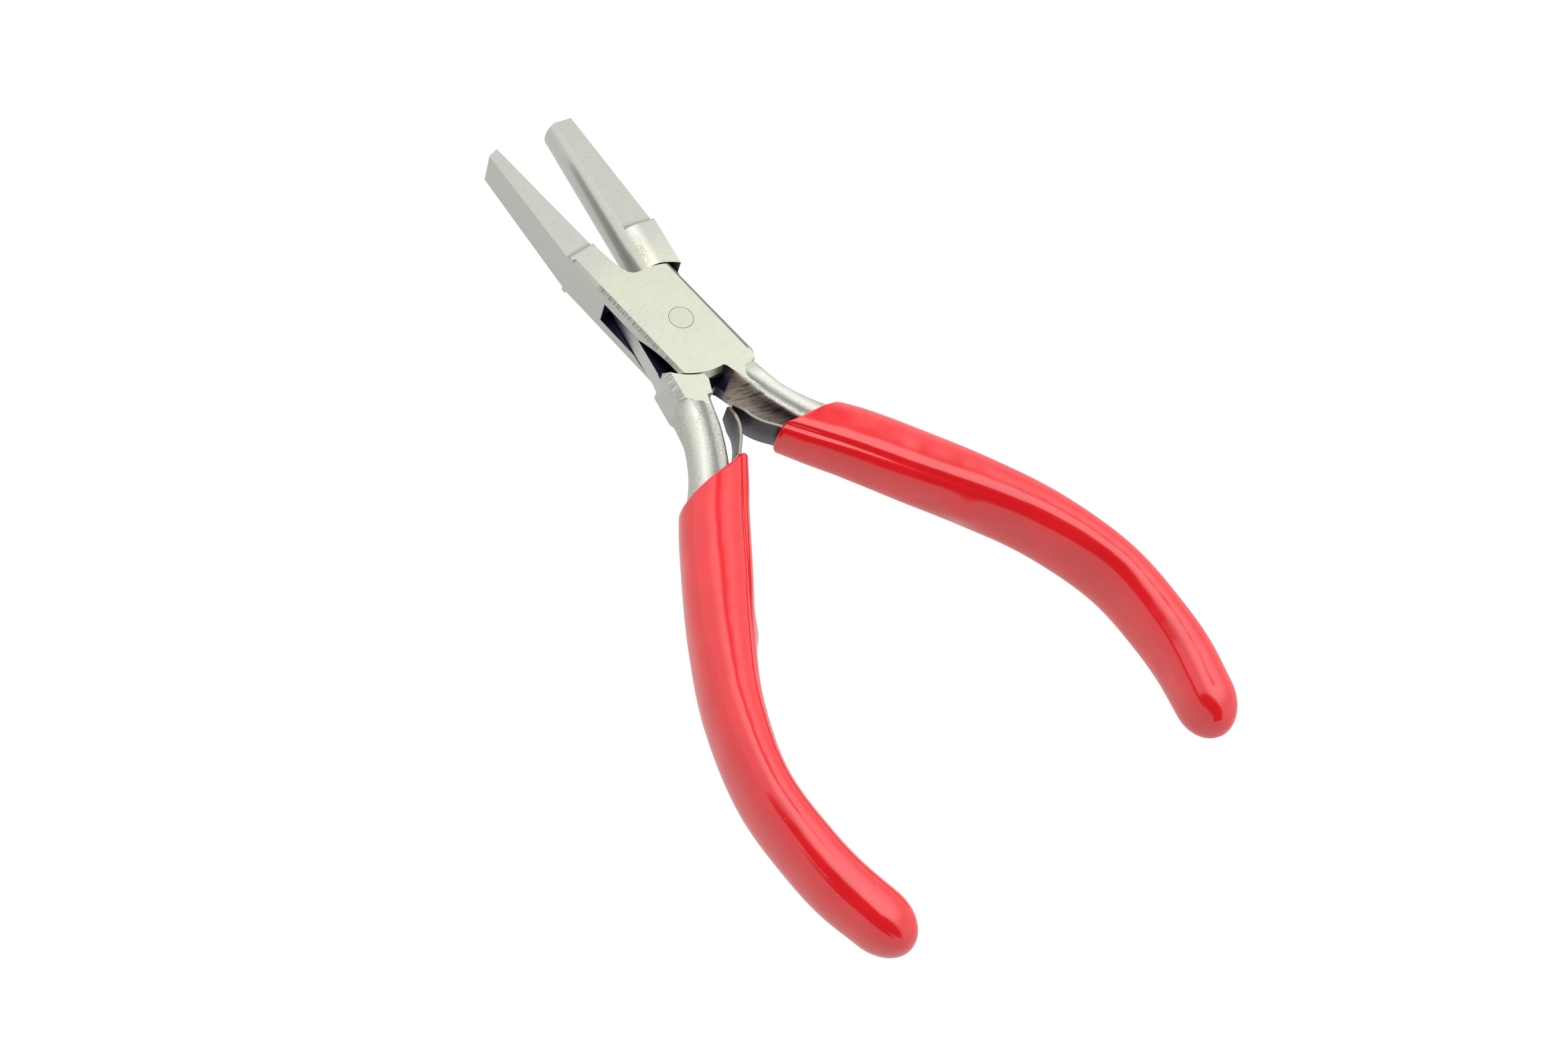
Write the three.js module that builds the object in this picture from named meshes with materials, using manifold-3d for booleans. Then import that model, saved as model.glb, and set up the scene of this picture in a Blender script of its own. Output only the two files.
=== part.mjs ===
// Box-joint forming pliers with one flat and one half-round jaw, leaf springs and dipped vinyl grips.
// Millimetres, +Z up, +Y from the handles to the jaws. The origin is where the pivot's axis meets the
// ground top face of the joint, so the joint fills z = -JOINT_THICKNESS to 0.
//
// Each lever's head is drawn closed, with the jaws meeting along Y, and its group turns it to the open
// pose that the springs hold. The handles are drawn in that open pose, as mirror images.
import * as THREE from "three";
import { mergeVertices } from "three/addons/utils/BufferGeometryUtils.js";
import Module from "manifold-3d";

const wasm = await Module();
wasm.setup();

// ---- Driving dimensions ----

// Opening of each lever from the closed line at rest, in degrees.
const FLAT_LEVER_OPEN = 5.0;
const ROUND_LEVER_OPEN = 8.6;

// Joint.
const JOINT_THICKNESS = 9.0;
const JOINT_LEFT = -7.25;
const JOINT_RIGHT = 5.9;
const TONGUE_THICKNESS = 3.6;
const CHEEK_RADIUS = 10.6; // the cheeks end on an arc about the pivot
const SLOT_RADIUS = 12.2; // the slot's end walls are an arc about the pivot
const SIDE_CHAMFER = 0.55;
const RELIEF_RADIUS = 20; // of the arc that thins the cheeks' free corners
const RELIEF_LOWEST_Y = -6.8;
const RELIEF_DEPTH = 3.4; // in from the joint's side
const NOTCH_RIGHT = 0.4; // the corner beside the other lever's shoulder
const PIVOT_RADIUS = 2.0;
const RUNNING_GAP = 0.3; // between pieces that touch or turn on each other
const PIVOT_GAP = 0.08; // radial clearance of the pivot in both levers

// Jaws.
const JAW_LENGTH = 43.0; // pivot to tip
const JAW_STEP = 19.0; // pivot to the step where the jaws are ground thinner
const JAW_STEP_DEPTH = 0.8;
const JAW_TIP_THICKNESS = 6.2;
const CONTACT_X = -2.2; // the plane that the closed jaws meet on
const CLOSED_GAP = 0.2;
const FLAT_JAW_ROOT = 4.95; // depth of the flat jaw behind its face
const FLAT_JAW_TIP = 2.0;
const ROUND_JAW_RADIUS = 4.5; // of the half-round face
const ROUND_JAW_ROOT = 7.1; // from the top of the half-round face to the jaw's back
const ROUND_JAW_TIP = 4.4;

// Shoulders, beside the joint.
const SHOULDER_LENGTH = 13.4; // pivot to the end of the milled side faces
const SHOULDER_LEFT = -7.6;
const SHOULDER_CHAMFER = 1.0;
const SHOULDER_INNER = -1.4; // inner face of the half-round lever's shoulder when closed
const BLOCK_RIGHT = 5.15;

// Handles: the steel core inside the grips.
const HANDLE_SYMMETRY_X = -1.55; // the handles mirror about this line when open
const MID_Z = -JOINT_THICKNESS / 2;

// Springs.
const LEAF_THICKNESS = 0.6;
const LEAF_WIDTH = 5.6;
const LEAF_HALF = LEAF_THICKNESS / 2;
const LEAF_TIP_CHAMFER = 0.9;
const BLADE_TRAVEL = 2.2; // clear space between the blade and its handle
const SPRING_RIVET_RADIUS = 1.1;
const SPRING_RIVET_HEAD_RADIUS = 2.0;
const SPRING_RIVET_HEAD = 0.7;
const SPRING_RIVET_LENGTH = 2.6; // into the handle

// Grips.
const GRIP_CAP = 6.6; // the domed end
const GRIP_MOUTH = 25.4; // pivot to the edge of the dip
const GRIP_CLEARANCE = 0.3;

const STEEL_SIDES = 28; // facets round a handle's core
const GRIP_SIDES = 32;
const ARC_STEPS = 14;
const LEAF_STEPS = 18;
const FAR = 90; // beyond the object
const FINEST_DETAIL = 0.004;

// Centre line, half width in the plane and half height, from the joint to the end of the core, as
// seen on the right handle with its line of symmetry at x = 0.
const CORE = [
  { x: 5.0, y: -9.6, width: 2.9, height: 5.0 },
  { x: 5.1, y: -11.4, width: 2.9, height: 4.9 },
  { x: 6.1, y: -15.2, width: 2.75, height: 4.6 },
  { x: 7.15, y: -18.6, width: 2.75, height: 4.3 },
  { x: 10.45, y: -24.6, width: 3.0, height: 4.0 },
  { x: 15.0, y: -30.3, width: 3.2, height: 4.3 },
  { x: 20.8, y: -39.4, width: 3.5, height: 4.9 },
  { x: 26.6, y: -48.8, width: 3.3, height: 5.2 },
  { x: 32.0, y: -59.0, width: 2.7, height: 5.5 },
  { x: 36.1, y: -72.0, width: 2.1, height: 5.4 },
  { x: 36.4, y: -83.6, width: 2.1, height: 4.9 },
  { x: 35.7, y: -90.0, width: 1.9, height: 4.4 },
  { x: 34.4, y: -95.6, width: 1.6, height: 3.6 },
];
const GRIP = [
  { x: 2.6, y: -17.6, width: 4.2, height: 4.9 },
  { x: 6.5, y: -22.1, width: 4.5, height: 5.1 },
  { x: 10.2, y: -26.3, width: 5.05, height: 5.5 },
  { x: 14.1, y: -30.9, width: 5.4, height: 5.8 },
  { x: 20.3, y: -39.8, width: 5.35, height: 6.3 },
  { x: 26.3, y: -48.8, width: 4.9, height: 6.8 },
  { x: 32.0, y: -59.1, width: 4.3, height: 7.2 },
  { x: 36.1, y: -72.0, width: 3.75, height: 7.4 },
  { x: 36.4, y: -83.6, width: 3.9, height: 7.0 },
  { x: 35.7, y: -90.2, width: 4.1, height: 6.6 },
  { x: 34.1, y: -96.6, width: 4.15, height: 6.1 },
];
// Middle of the leaf: its free blade, then its root, which is riveted to the handle.
const LEAF_BLADE = [
  [0.5, -16.3],
  [0.85, -17.9],
  [1.3, -19.8],
  [2.35, -21.7],
  [4.2, -23.8],
  [7.1, -27.1],
];
const LEAF_ROOT = [
  [7.3, -27.33],
  [11.2, -32.4],
  [14.8, -37.8],
  [19.6, -45.3],
  [22.6, -50.2],
  [24.1, -52.6],
];
const RIVET_INDEX = 4; // the point of LEAF_ROOT that the rivet goes through

// ---- Joining and cutting ----

function solidOf(geometry) {
  const bare = geometry.clone();
  bare.deleteAttribute("normal");
  bare.deleteAttribute("uv");
  const merged = mergeVertices(bare, 1e-4);
  return new wasm.Manifold(
    new wasm.Mesh({
      numProp: 3,
      vertProperties: Float32Array.from(merged.attributes.position.array),
      triVerts: Uint32Array.from(merged.index.array),
    }),
  );
}

function geometryOf(solid) {
  const { vertProperties, triVerts } = solid.getMesh();
  return new THREE.BufferGeometry()
    .setAttribute("position", new THREE.BufferAttribute(Float32Array.from(vertProperties), 3))
    .setIndex(new THREE.BufferAttribute(Uint32Array.from(triVerts), 1));
}

const turned = (solid, degrees) =>
  solidOf(geometryOf(solid).rotateZ(THREE.MathUtils.degToRad(degrees)));

// ---- Shapes ----

function polygon(points) {
  return new THREE.Shape(points.map(([x, y]) => new THREE.Vector2(x, y)));
}

// Extrudes a shape drawn in the plane of `across` and `up`, from `start` to `end` along `along`.
function extruded(shape, across, up, along, start, end) {
  const geometry = new THREE.ExtrudeGeometry(shape, {
    depth: end - start,
    bevelEnabled: false,
    curveSegments: ARC_STEPS,
  });
  geometry.translate(0, 0, start);
  return solidOf(geometry.applyMatrix4(new THREE.Matrix4().makeBasis(across, up, along)));
}

const X = new THREE.Vector3(1, 0, 0);
const Y = new THREE.Vector3(0, 1, 0);
const Z = new THREE.Vector3(0, 0, 1);
const BACK = new THREE.Vector3(0, -1, 0);

const plate = (shape, bottom = -JOINT_THICKNESS, top = 0) => extruded(shape, X, Y, Z, bottom, top);
const crossSection = (shape, nearY, farY) => extruded(shape, X, Z, BACK, -farY, -nearY);
const sideProfile = (shape, left, right) => extruded(shape, Y, Z, X, left, right);

const disc = (radius, bottom, top) => {
  const cylinder = new THREE.CylinderGeometry(radius, radius, top - bottom, 72);
  return solidOf(cylinder.rotateX(Math.PI / 2).translate(0, 0, (bottom + top) / 2));
};

const arcPoint = (radius, x, side = 1) => [x, side * Math.sqrt(radius ** 2 - x ** 2)];

// Points of an arc about the pivot, from one x to another, on the jaw side (1) or handle side (-1).
function arcPoints(radius, fromX, toX, side) {
  const from = Math.atan2(arcPoint(radius, fromX, side)[1], fromX);
  const to = Math.atan2(arcPoint(radius, toX, side)[1], toX);
  return Array.from({ length: ARC_STEPS + 1 }, (_, i) => {
    const angle = THREE.MathUtils.lerp(from, to, i / ARC_STEPS);
    return [radius * Math.cos(angle), radius * Math.sin(angle)];
  });
}

// Puts the first and last column of a closed ring on the same spot.
const snapped = (value) => Math.round(value * 1e6) / 1e6;

const RINGS_PER_STATION = 3;
const CAP_RINGS = 6;
const CAP_END = 0.12; // of the section, at the flat middle of a dome

// Along a superellipse: 2 is an ellipse, and larger powers are squarer.
const squared = (value, power) => Math.sign(value) * Math.abs(value) ** (2 / power);

// A closed bar along a centre line in the plane: a unit cylinder whose rings are moved onto the
// stations, `grow` larger all round. `cap` is the length of the dome at its far end, if it has one.
function bar(stations, sides, powers, grow, cap, side) {
  const through = (key) =>
    new THREE.CatmullRomCurve3(
      stations.map((s) => new THREE.Vector3(s.x, s.y, s[key])),
      false,
      "centripetal",
    );
  const widths = through("width");
  const heights = through("height");
  const rings = stations.length * RINGS_PER_STATION;
  const last = rings + (cap > 0 ? CAP_RINGS : 0);
  const unit = new THREE.CylinderGeometry(1, 1, 1, sides, last);
  const place = unit.attributes.position;
  const point = new THREE.Vector3();
  for (let i = 0; i < place.count; i++) {
    point.fromBufferAttribute(place, i);
    const ring = Math.round((0.5 - point.y) * last);
    const t = Math.min(ring / rings, 1);
    const centre = widths.getPoint(t);
    const ahead = widths.getTangent(t).setZ(0).normalize();
    const dome = (Math.max(ring - rings, 0) / CAP_RINGS) * (Math.PI / 2);
    const section = Math.max(Math.cos(dome), CAP_END);
    const beyond = Math.sin(dome) * cap + (ring === last ? grow : 0);
    const angle = Math.atan2(snapped(point.z), snapped(point.x));
    const power = Math.cos(angle) >= 0 ? powers.outer : powers.inner;
    const onAxis = Math.hypot(point.x, point.z) < 0.5;
    const size = onAxis ? 0 : section;
    const across = squared(Math.cos(angle), power) * (centre.z + grow) * size;
    const up = squared(Math.sin(angle), power) * (heights.getPoint(t).z + grow) * size;
    const x = centre.x + ahead.x * beyond - ahead.y * across;
    place.setXYZ(
      i,
      HANDLE_SYMMETRY_X + side * x,
      centre.y + ahead.y * beyond + ahead.x * across,
      MID_Z + up,
    );
  }
  return solidFacingOut(unit);
}

// Turns the triangles round if a mirrored geometry faces inwards.
function solidFacingOut(geometry) {
  const made = solidOf(geometry);
  if (made.volume() > 0) return made;
  const index = geometry.index.array;
  for (let i = 0; i < index.length; i += 3) {
    [index[i + 1], index[i + 2]] = [index[i + 2], index[i + 1]];
  }
  return solidOf(geometry);
}

// Powers of the sections' inner and outer halves: the steel is nearly flat on its inner side.
const CORE_POWERS = { inner: 4.5, outer: 2.4 };
const GRIP_POWERS = { inner: 2.6, outer: 2.2 };

const core = (side, grow = 0) => bar(CORE, STEEL_SIDES, CORE_POWERS, grow, 0, side);

// ---- The levers ----

const SLOT_HALF = TONGUE_THICKNESS / 2 + RUNNING_GAP;
const BORE_RADIUS = PIVOT_RADIUS + PIVOT_GAP;
const SHOULDER_RADIUS = CHEEK_RADIUS + RUNNING_GAP;
const TONGUE_RADIUS = SLOT_RADIUS - RUNNING_GAP;
const FLAT_FACE_X = CONTACT_X - CLOSED_GAP / 2;
const ROUND_AXIS_X = CONTACT_X + CLOSED_GAP / 2 + ROUND_JAW_RADIUS;

const slotDisc = (radius) => disc(radius, MID_Z - SLOT_HALF, MID_Z + SLOT_HALF);

// Thickness of the jaws seen from the side: full at the joint, stepped, then tapering to the tip.
function jawThickness() {
  const tip = (JOINT_THICKNESS - JAW_TIP_THICKNESS) / 2;
  const far = JAW_LENGTH + 1;
  return sideProfile(
    polygon([
      [-FAR, 0],
      [-FAR, -JOINT_THICKNESS],
      [JAW_STEP, -JOINT_THICKNESS],
      [JAW_STEP, JAW_STEP_DEPTH - JOINT_THICKNESS],
      [far, tip - JOINT_THICKNESS],
      [far, -tip],
      [JAW_STEP, -JAW_STEP_DEPTH],
      [JAW_STEP, 0],
    ]),
    -FAR,
    FAR,
  );
}

// The cheeks thin out to their free corners under a long shallow arc, which clears the roots of the
// tongue. `turn` is 0 for the left, handle-side corner and 180 for the right, jaw-side one.
function cheekRelief(turn) {
  const halfGap = JOINT_THICKNESS / 2 - SIDE_CHAMFER;
  const centreZ = MID_Z + halfGap - RELIEF_RADIUS;
  const reach = Math.sqrt(RELIEF_RADIUS ** 2 - (RELIEF_RADIUS - halfGap + SLOT_HALF) ** 2);
  const points = [];
  for (let i = 0; i <= ARC_STEPS; i++) {
    const y = reach * (1 - i / ARC_STEPS);
    points.push([RELIEF_LOWEST_Y + y, centreZ + Math.sqrt(RELIEF_RADIUS ** 2 - y ** 2)]);
  }
  points.push([-SLOT_RADIUS - 2, MID_Z + halfGap]);
  const lower = points.map(([y, z]) => [y, 2 * MID_Z - z]).reverse();
  const cut = sideProfile(polygon([...points, ...lower]), JOINT_LEFT - 2, JOINT_LEFT + RELIEF_DEPTH);
  return turned(cut, turn);
}

// A section of the joint with its long edges chamfered by `c`.
const chamferedSection = (left, right, c) =>
  polygon([
    [left, -c],
    [left, c - JOINT_THICKNESS],
    [left + c, -JOINT_THICKNESS],
    [right - c, -JOINT_THICKNESS],
    [right, c - JOINT_THICKNESS],
    [right, -c],
    [right - c, 0],
    [left + c, 0],
  ]);

const rectangle = (left, near, right, far) =>
  polygon([
    [left, near],
    [right, near],
    [right, far],
    [left, far],
  ]);

const throughBore = () => disc(BORE_RADIUS, -FAR, FAR);

// The lever that the other passes through: two cheeks beside the slot, and the flat jaw.
function flatJawLever() {
  const shoulderEnd = -CHEEK_RADIUS - 2;
  const outline = plate(
    polygon([
      [FLAT_FACE_X, JAW_LENGTH],
      [FLAT_FACE_X - FLAT_JAW_TIP, JAW_LENGTH - 0.5],
      [FLAT_FACE_X - FLAT_JAW_ROOT, JAW_STEP],
      ...arcPoints(CHEEK_RADIUS, JOINT_LEFT, -0.3, -1),
      [0, -CHEEK_RADIUS - 0.4],
      [NOTCH_RIGHT, shoulderEnd],
      [JOINT_RIGHT - 1.1, shoulderEnd],
      [JOINT_RIGHT, -CHEEK_RADIUS - 0.3],
      ...arcPoints(CHEEK_RADIUS, JOINT_RIGHT - 0.6, NOTCH_RIGHT, 1),
      [-0.6, CHEEK_RADIUS + 0.3],
      [-1.25, CHEEK_RADIUS + 0.9],
      [-1.85, CHEEK_RADIUS + 2.3],
      [FLAT_FACE_X, JAW_STEP - 2],
    ]),
  );
  const joint = crossSection(
    chamferedSection(JOINT_LEFT, JOINT_RIGHT, SIDE_CHAMFER),
    shoulderEnd,
    JAW_STEP - 0.6,
  );
  const jaw = plate(rectangle(-FAR, JAW_STEP - 0.8, FAR, FAR));
  const otherJaw = crossSection(
    roundSection(ROUND_JAW_RADIUS + CLOSED_GAP / 2, FAR),
    CHEEK_RADIUS - 4,
    FAR,
  ).subtract(disc(CHEEK_RADIUS, -FAR, FAR));
  const handle = turned(core(1), -FLAT_LEVER_OPEN)
    .intersect(jawThickness())
    .subtract(plate(rectangle(-FAR, shoulderEnd, NOTCH_RIGHT, 0), -FAR, FAR));
  return outline
    .intersect(joint.add(jaw))
    .intersect(jawThickness())
    .add(handle)
    .subtract(slotDisc(SLOT_RADIUS))
    .subtract(otherJaw)
    .subtract(cheekRelief(0))
    .subtract(cheekRelief(180))
    .subtract(throughBore());
}

// The half-round jaw's section: a flat back at `backX` and an arc about (ROUND_AXIS_X, MID_Z).
function roundSection(radius, backX) {
  const reach = JOINT_THICKNESS / 2 + 0.5;
  const tall = Math.min(reach, radius * 0.999);
  const start = Math.asin(tall / radius);
  const points = [
    [backX, MID_Z + reach],
    [backX, MID_Z - reach],
    [ROUND_AXIS_X, MID_Z - reach],
  ];
  const steps = 2 * ARC_STEPS;
  for (let i = 0; i <= steps; i++) {
    const angle = THREE.MathUtils.lerp(start, -start, 1 - i / steps);
    points.push([ROUND_AXIS_X - radius * Math.cos(angle), MID_Z + radius * Math.sin(angle)]);
  }
  points.push([ROUND_AXIS_X, MID_Z + reach]);
  return polygon(points);
}

// The lever that passes through the slot: the half-round jaw, the tongue and the left shoulder.
function halfRoundJawLever() {
  const apex = CONTACT_X + CLOSED_GAP / 2;
  const base = CHEEK_RADIUS - 3;
  const jaw = plate(
    polygon([
      [apex - 0.5, JAW_LENGTH],
      [apex - 0.5, base],
      [BLOCK_RIGHT, base],
      [BLOCK_RIGHT, JAW_STEP],
      [apex + ROUND_JAW_ROOT, JAW_STEP],
      [apex + ROUND_JAW_TIP, JAW_LENGTH],
    ]),
  )
    .intersect(crossSection(roundSection(ROUND_JAW_RADIUS, BLOCK_RIGHT + 3), base, JAW_LENGTH + 1))
    .intersect(jawThickness());
  const tongue = plate(
    polygon([
      [JOINT_LEFT - 0.1, -CHEEK_RADIUS + 1.6],
      [BLOCK_RIGHT - 0.1, -CHEEK_RADIUS + 1.6],
      [BLOCK_RIGHT - 0.1, CHEEK_RADIUS],
      [JOINT_LEFT - 0.1, CHEEK_RADIUS - 1.6],
    ]),
    MID_Z - TONGUE_THICKNESS / 2,
    MID_Z + TONGUE_THICKNESS / 2,
  ).intersect(disc(TONGUE_RADIUS, -JOINT_THICKNESS, 0));
  const facets = crossSection(
    chamferedSection(SHOULDER_LEFT, FAR, SHOULDER_CHAMFER),
    -FAR,
    0,
  );
  const shoulder = plate(
    polygon([
      [SHOULDER_LEFT + 0.15, -CHEEK_RADIUS + 3.6],
      [SHOULDER_LEFT, -SHOULDER_LENGTH],
      [SHOULDER_LEFT + 2, -SHOULDER_LENGTH - 1],
      [SHOULDER_INNER - 0.7, -SHOULDER_LENGTH - 1],
      [SHOULDER_INNER, -CHEEK_RADIUS - 1.4],
      [SHOULDER_INNER - 0.3, -CHEEK_RADIUS + 0.2],
      [SHOULDER_INNER - 0.3, -CHEEK_RADIUS + 3.6],
    ]),
  ).intersect(facets);
  const handle = turned(core(-1), ROUND_LEVER_OPEN).intersect(jawThickness());
  const cheekSpace = (bottom, top) => disc(SHOULDER_RADIUS, bottom, top);
  return jaw
    .add(shoulder)
    .add(handle)
    .subtract(cheekSpace(MID_Z + TONGUE_THICKNESS / 2, FAR))
    .subtract(cheekSpace(-FAR, MID_Z - TONGUE_THICKNESS / 2))
    .add(tongue)
    .subtract(throughBore());
}

// ---- Springs, rivets and grips, in the open pose ----

// Points on the leaf's middle, evenly spread along a smooth curve.
function leafLine(points, steps) {
  const curve = new THREE.CatmullRomCurve3(points.map(([x, y]) => new THREE.Vector3(x, y, 0)));
  return Array.from({ length: steps + 1 }, (_, i) => ({
    at: curve.getPointAt(i / steps),
    ahead: curve.getTangentAt(i / steps),
  }));
}

const onSide = (side, x, y) => [HANDLE_SYMMETRY_X + side * x, y];

// A strip along a leaf's middle line, between two distances from it, and `grow` larger all round.
// Positive distances lie towards the handle.
function leafStrip(points, side, from, to, grow) {
  const line = leafLine(points, LEAF_STEPS);
  const edge = (offset) =>
    line.map(({ at, ahead }) => onSide(side, at.x - ahead.y * offset, at.y + ahead.x * offset));
  const shape = polygon([...edge(to + grow), ...edge(from - grow).reverse()]);
  const half = LEAF_WIDTH / 2 + grow;
  return plate(shape, MID_Z - half, MID_Z + half);
}

// Cuts the corners off the free end of a blade.
function leafTipShape() {
  const [, tipY] = LEAF_BLADE[0];
  const end = tipY + LEAF_HALF;
  const full = tipY - 2.4 * LEAF_TIP_CHAMFER;
  const half = LEAF_WIDTH / 2;
  return sideProfile(
    polygon([
      [-FAR, MID_Z - half - 1],
      [full, MID_Z - half - 1],
      [full, MID_Z - half],
      [end, MID_Z - half + LEAF_TIP_CHAMFER],
      [end, MID_Z + half - LEAF_TIP_CHAMFER],
      [full, MID_Z + half],
      [full, MID_Z + half + 1],
      [-FAR, MID_Z + half + 1],
    ]),
    -FAR,
    FAR,
  );
}

const blade = (side) =>
  leafStrip(LEAF_BLADE, side, -LEAF_HALF, LEAF_HALF, 0).intersect(leafTipShape());

// A cylinder along the rivet's axis, which is square to the leaf, between two such distances.
function rivetCylinder(side, radius, from, to) {
  const [x, y] = LEAF_ROOT[RIVET_INDEX];
  const [beforeX, beforeY] = LEAF_ROOT[RIVET_INDEX - 1];
  const ahead = new THREE.Vector2(x - beforeX, y - beforeY).normalize();
  const outward = new THREE.Vector3(-side * ahead.y, ahead.x, 0);
  const cylinder = new THREE.CylinderGeometry(radius, radius, to - from, 24).translate(0, (from + to) / 2, 0);
  const turn = new THREE.Quaternion().setFromUnitVectors(Y, outward);
  const [placeX, placeY] = onSide(side, x, y);
  return solidOf(cylinder.applyQuaternion(turn).translate(placeX, placeY, MID_Z));
}

const root = (side) =>
  leafStrip(LEAF_ROOT, side, -LEAF_HALF, LEAF_HALF, 0).subtract(
    rivetCylinder(side, SPRING_RIVET_RADIUS + RUNNING_GAP, -LEAF_WIDTH, LEAF_WIDTH),
  );

const HEAD_FROM = -LEAF_HALF - RUNNING_GAP - SPRING_RIVET_HEAD;

const springRivet = (side) =>
  rivetCylinder(side, SPRING_RIVET_RADIUS, HEAD_FROM + 0.1, SPRING_RIVET_LENGTH).add(
    rivetCylinder(side, SPRING_RIVET_HEAD_RADIUS, HEAD_FROM, HEAD_FROM + SPRING_RIVET_HEAD),
  );

// Room for the riveted end of a leaf and its rivet's shank.
const springSeat = (side) =>
  leafStrip([LEAF_BLADE.at(-1), ...LEAF_ROOT], side, -LEAF_HALF, LEAF_HALF, RUNNING_GAP).add(
    rivetCylinder(side, SPRING_RIVET_RADIUS + RUNNING_GAP, 0, SPRING_RIVET_LENGTH + RUNNING_GAP),
  );

// Room for the blade to bend into, towards the handle.
const bladeRoom = (side) =>
  leafStrip([...LEAF_BLADE, LEAF_ROOT[0]], side, -LEAF_HALF, BLADE_TRAVEL, RUNNING_GAP);

const springSpace = (side) => springSeat(side).add(bladeRoom(side));

function grip(side) {
  const mouth = plate(rectangle(-FAR, -GRIP_MOUTH, FAR, 0), -FAR, FAR);
  const headRoom = rivetCylinder(
    side,
    SPRING_RIVET_HEAD_RADIUS + RUNNING_GAP,
    HEAD_FROM - RUNNING_GAP,
    LEAF_THICKNESS,
  );
  const inside = core(side, GRIP_CLEARANCE).add(springSpace(side)).add(headRoom);
  return bar(GRIP, GRIP_SIDES, GRIP_POWERS, 0, GRIP_CAP, side).subtract(mouth).subtract(inside);
}

// ---- The scene graph ----

const groundSteel = { color: 0xb9bbaf, roughness: 0.42, metalness: 1.0 };
const springSteel = { color: 0x5b564f, roughness: 0.45, metalness: 1.0 };
const rivetSteel = { color: 0xc2c2b6, roughness: 0.38, metalness: 1.0 };
const redVinyl = { color: 0xe0141b, roughness: 0.22, metalness: 0.0 };

function piece(name, solid, finish) {
  const geometry = geometryOf(solid.simplify(FINEST_DETAIL));
  const made = new THREE.Mesh(geometry, new THREE.MeshStandardMaterial(finish));
  made.name = name;
  return made;
}

const pliers = new THREE.Group();

const flatSide = new THREE.Group();
flatSide.rotation.z = THREE.MathUtils.degToRad(FLAT_LEVER_OPEN);
flatSide.add(
  piece(
    "flat_jaw_lever",
    flatJawLever().subtract(turned(springSpace(1), -FLAT_LEVER_OPEN)),
    groundSteel,
  ),
);

const roundSide = new THREE.Group();
roundSide.rotation.z = THREE.MathUtils.degToRad(-ROUND_LEVER_OPEN);
roundSide.add(
  piece(
    "half_round_jaw_lever",
    halfRoundJawLever().subtract(turned(springSpace(-1), ROUND_LEVER_OPEN)),
    groundSteel,
  ),
);

pliers.add(flatSide, roundSide, piece("pivot_rivet", disc(PIVOT_RADIUS, -JOINT_THICKNESS, 0), rivetSteel));

for (const [name, side] of [
  ["right", 1],
  ["left", -1],
]) {
  pliers.add(
    piece(name + "_spring_blade", blade(side), springSteel),
    piece(name + "_spring_root", root(side), springSteel),
    piece(name + "_spring_rivet", springRivet(side), rivetSteel),
    piece(name + "_grip", grip(side), redVinyl),
  );
}

export default pliers;
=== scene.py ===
"""Looks for box-joint forming pliers: ground steel levers, tempered leaf springs and dipped grips.

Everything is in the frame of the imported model, in metres. Sizes inside a class are in millimetres.
"""

import logging
import math
from collections.abc import Sequence
from dataclasses import dataclass, field
from enum import Enum

import bmesh
import bpy
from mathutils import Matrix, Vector


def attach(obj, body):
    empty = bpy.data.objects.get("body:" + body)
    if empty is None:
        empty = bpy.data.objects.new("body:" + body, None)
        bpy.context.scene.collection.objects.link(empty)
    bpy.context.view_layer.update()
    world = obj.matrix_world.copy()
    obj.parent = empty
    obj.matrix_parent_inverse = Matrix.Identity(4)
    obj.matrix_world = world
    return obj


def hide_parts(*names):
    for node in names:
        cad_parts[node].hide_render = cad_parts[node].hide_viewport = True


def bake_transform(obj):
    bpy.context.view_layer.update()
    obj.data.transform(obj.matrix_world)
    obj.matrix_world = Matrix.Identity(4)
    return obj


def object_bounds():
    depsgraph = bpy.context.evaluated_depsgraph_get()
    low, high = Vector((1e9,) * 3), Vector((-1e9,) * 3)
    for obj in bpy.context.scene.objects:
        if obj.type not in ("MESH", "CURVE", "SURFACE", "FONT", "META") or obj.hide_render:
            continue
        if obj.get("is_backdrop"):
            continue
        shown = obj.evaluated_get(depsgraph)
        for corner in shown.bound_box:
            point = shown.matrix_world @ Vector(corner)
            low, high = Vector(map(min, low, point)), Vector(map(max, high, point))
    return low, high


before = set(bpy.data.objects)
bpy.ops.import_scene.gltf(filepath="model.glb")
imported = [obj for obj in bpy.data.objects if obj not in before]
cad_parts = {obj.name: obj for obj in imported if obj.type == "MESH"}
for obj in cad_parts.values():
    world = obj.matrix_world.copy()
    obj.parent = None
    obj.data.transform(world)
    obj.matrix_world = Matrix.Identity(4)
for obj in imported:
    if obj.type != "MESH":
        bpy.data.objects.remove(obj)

LOG = logging.getLogger("pliers")
MM = 0.001
MID_Z = -4.5  # middle of the joint's thickness
SYMMETRY_X = -1.55  # the handles mirror about this line
SMALLEST_GAP = 1e-6  # keeps a curve's spacing above nothing

Colour = tuple[float, float, float]
Point = tuple[float, float, float]
Span = tuple[float, float]


class Side(Enum):
    """The two handles, by the sign of their X."""

    RIGHT = 1
    LEFT = -1


class Body(Enum):
    """The model's rigid bodies."""

    FLAT = "flat_jaw_side"
    ROUND = "half_round_jaw_side"
    RIGHT_BLADE = "right_blade"
    LEFT_BLADE = "left_blade"


# ---- Shader expressions ----


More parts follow.
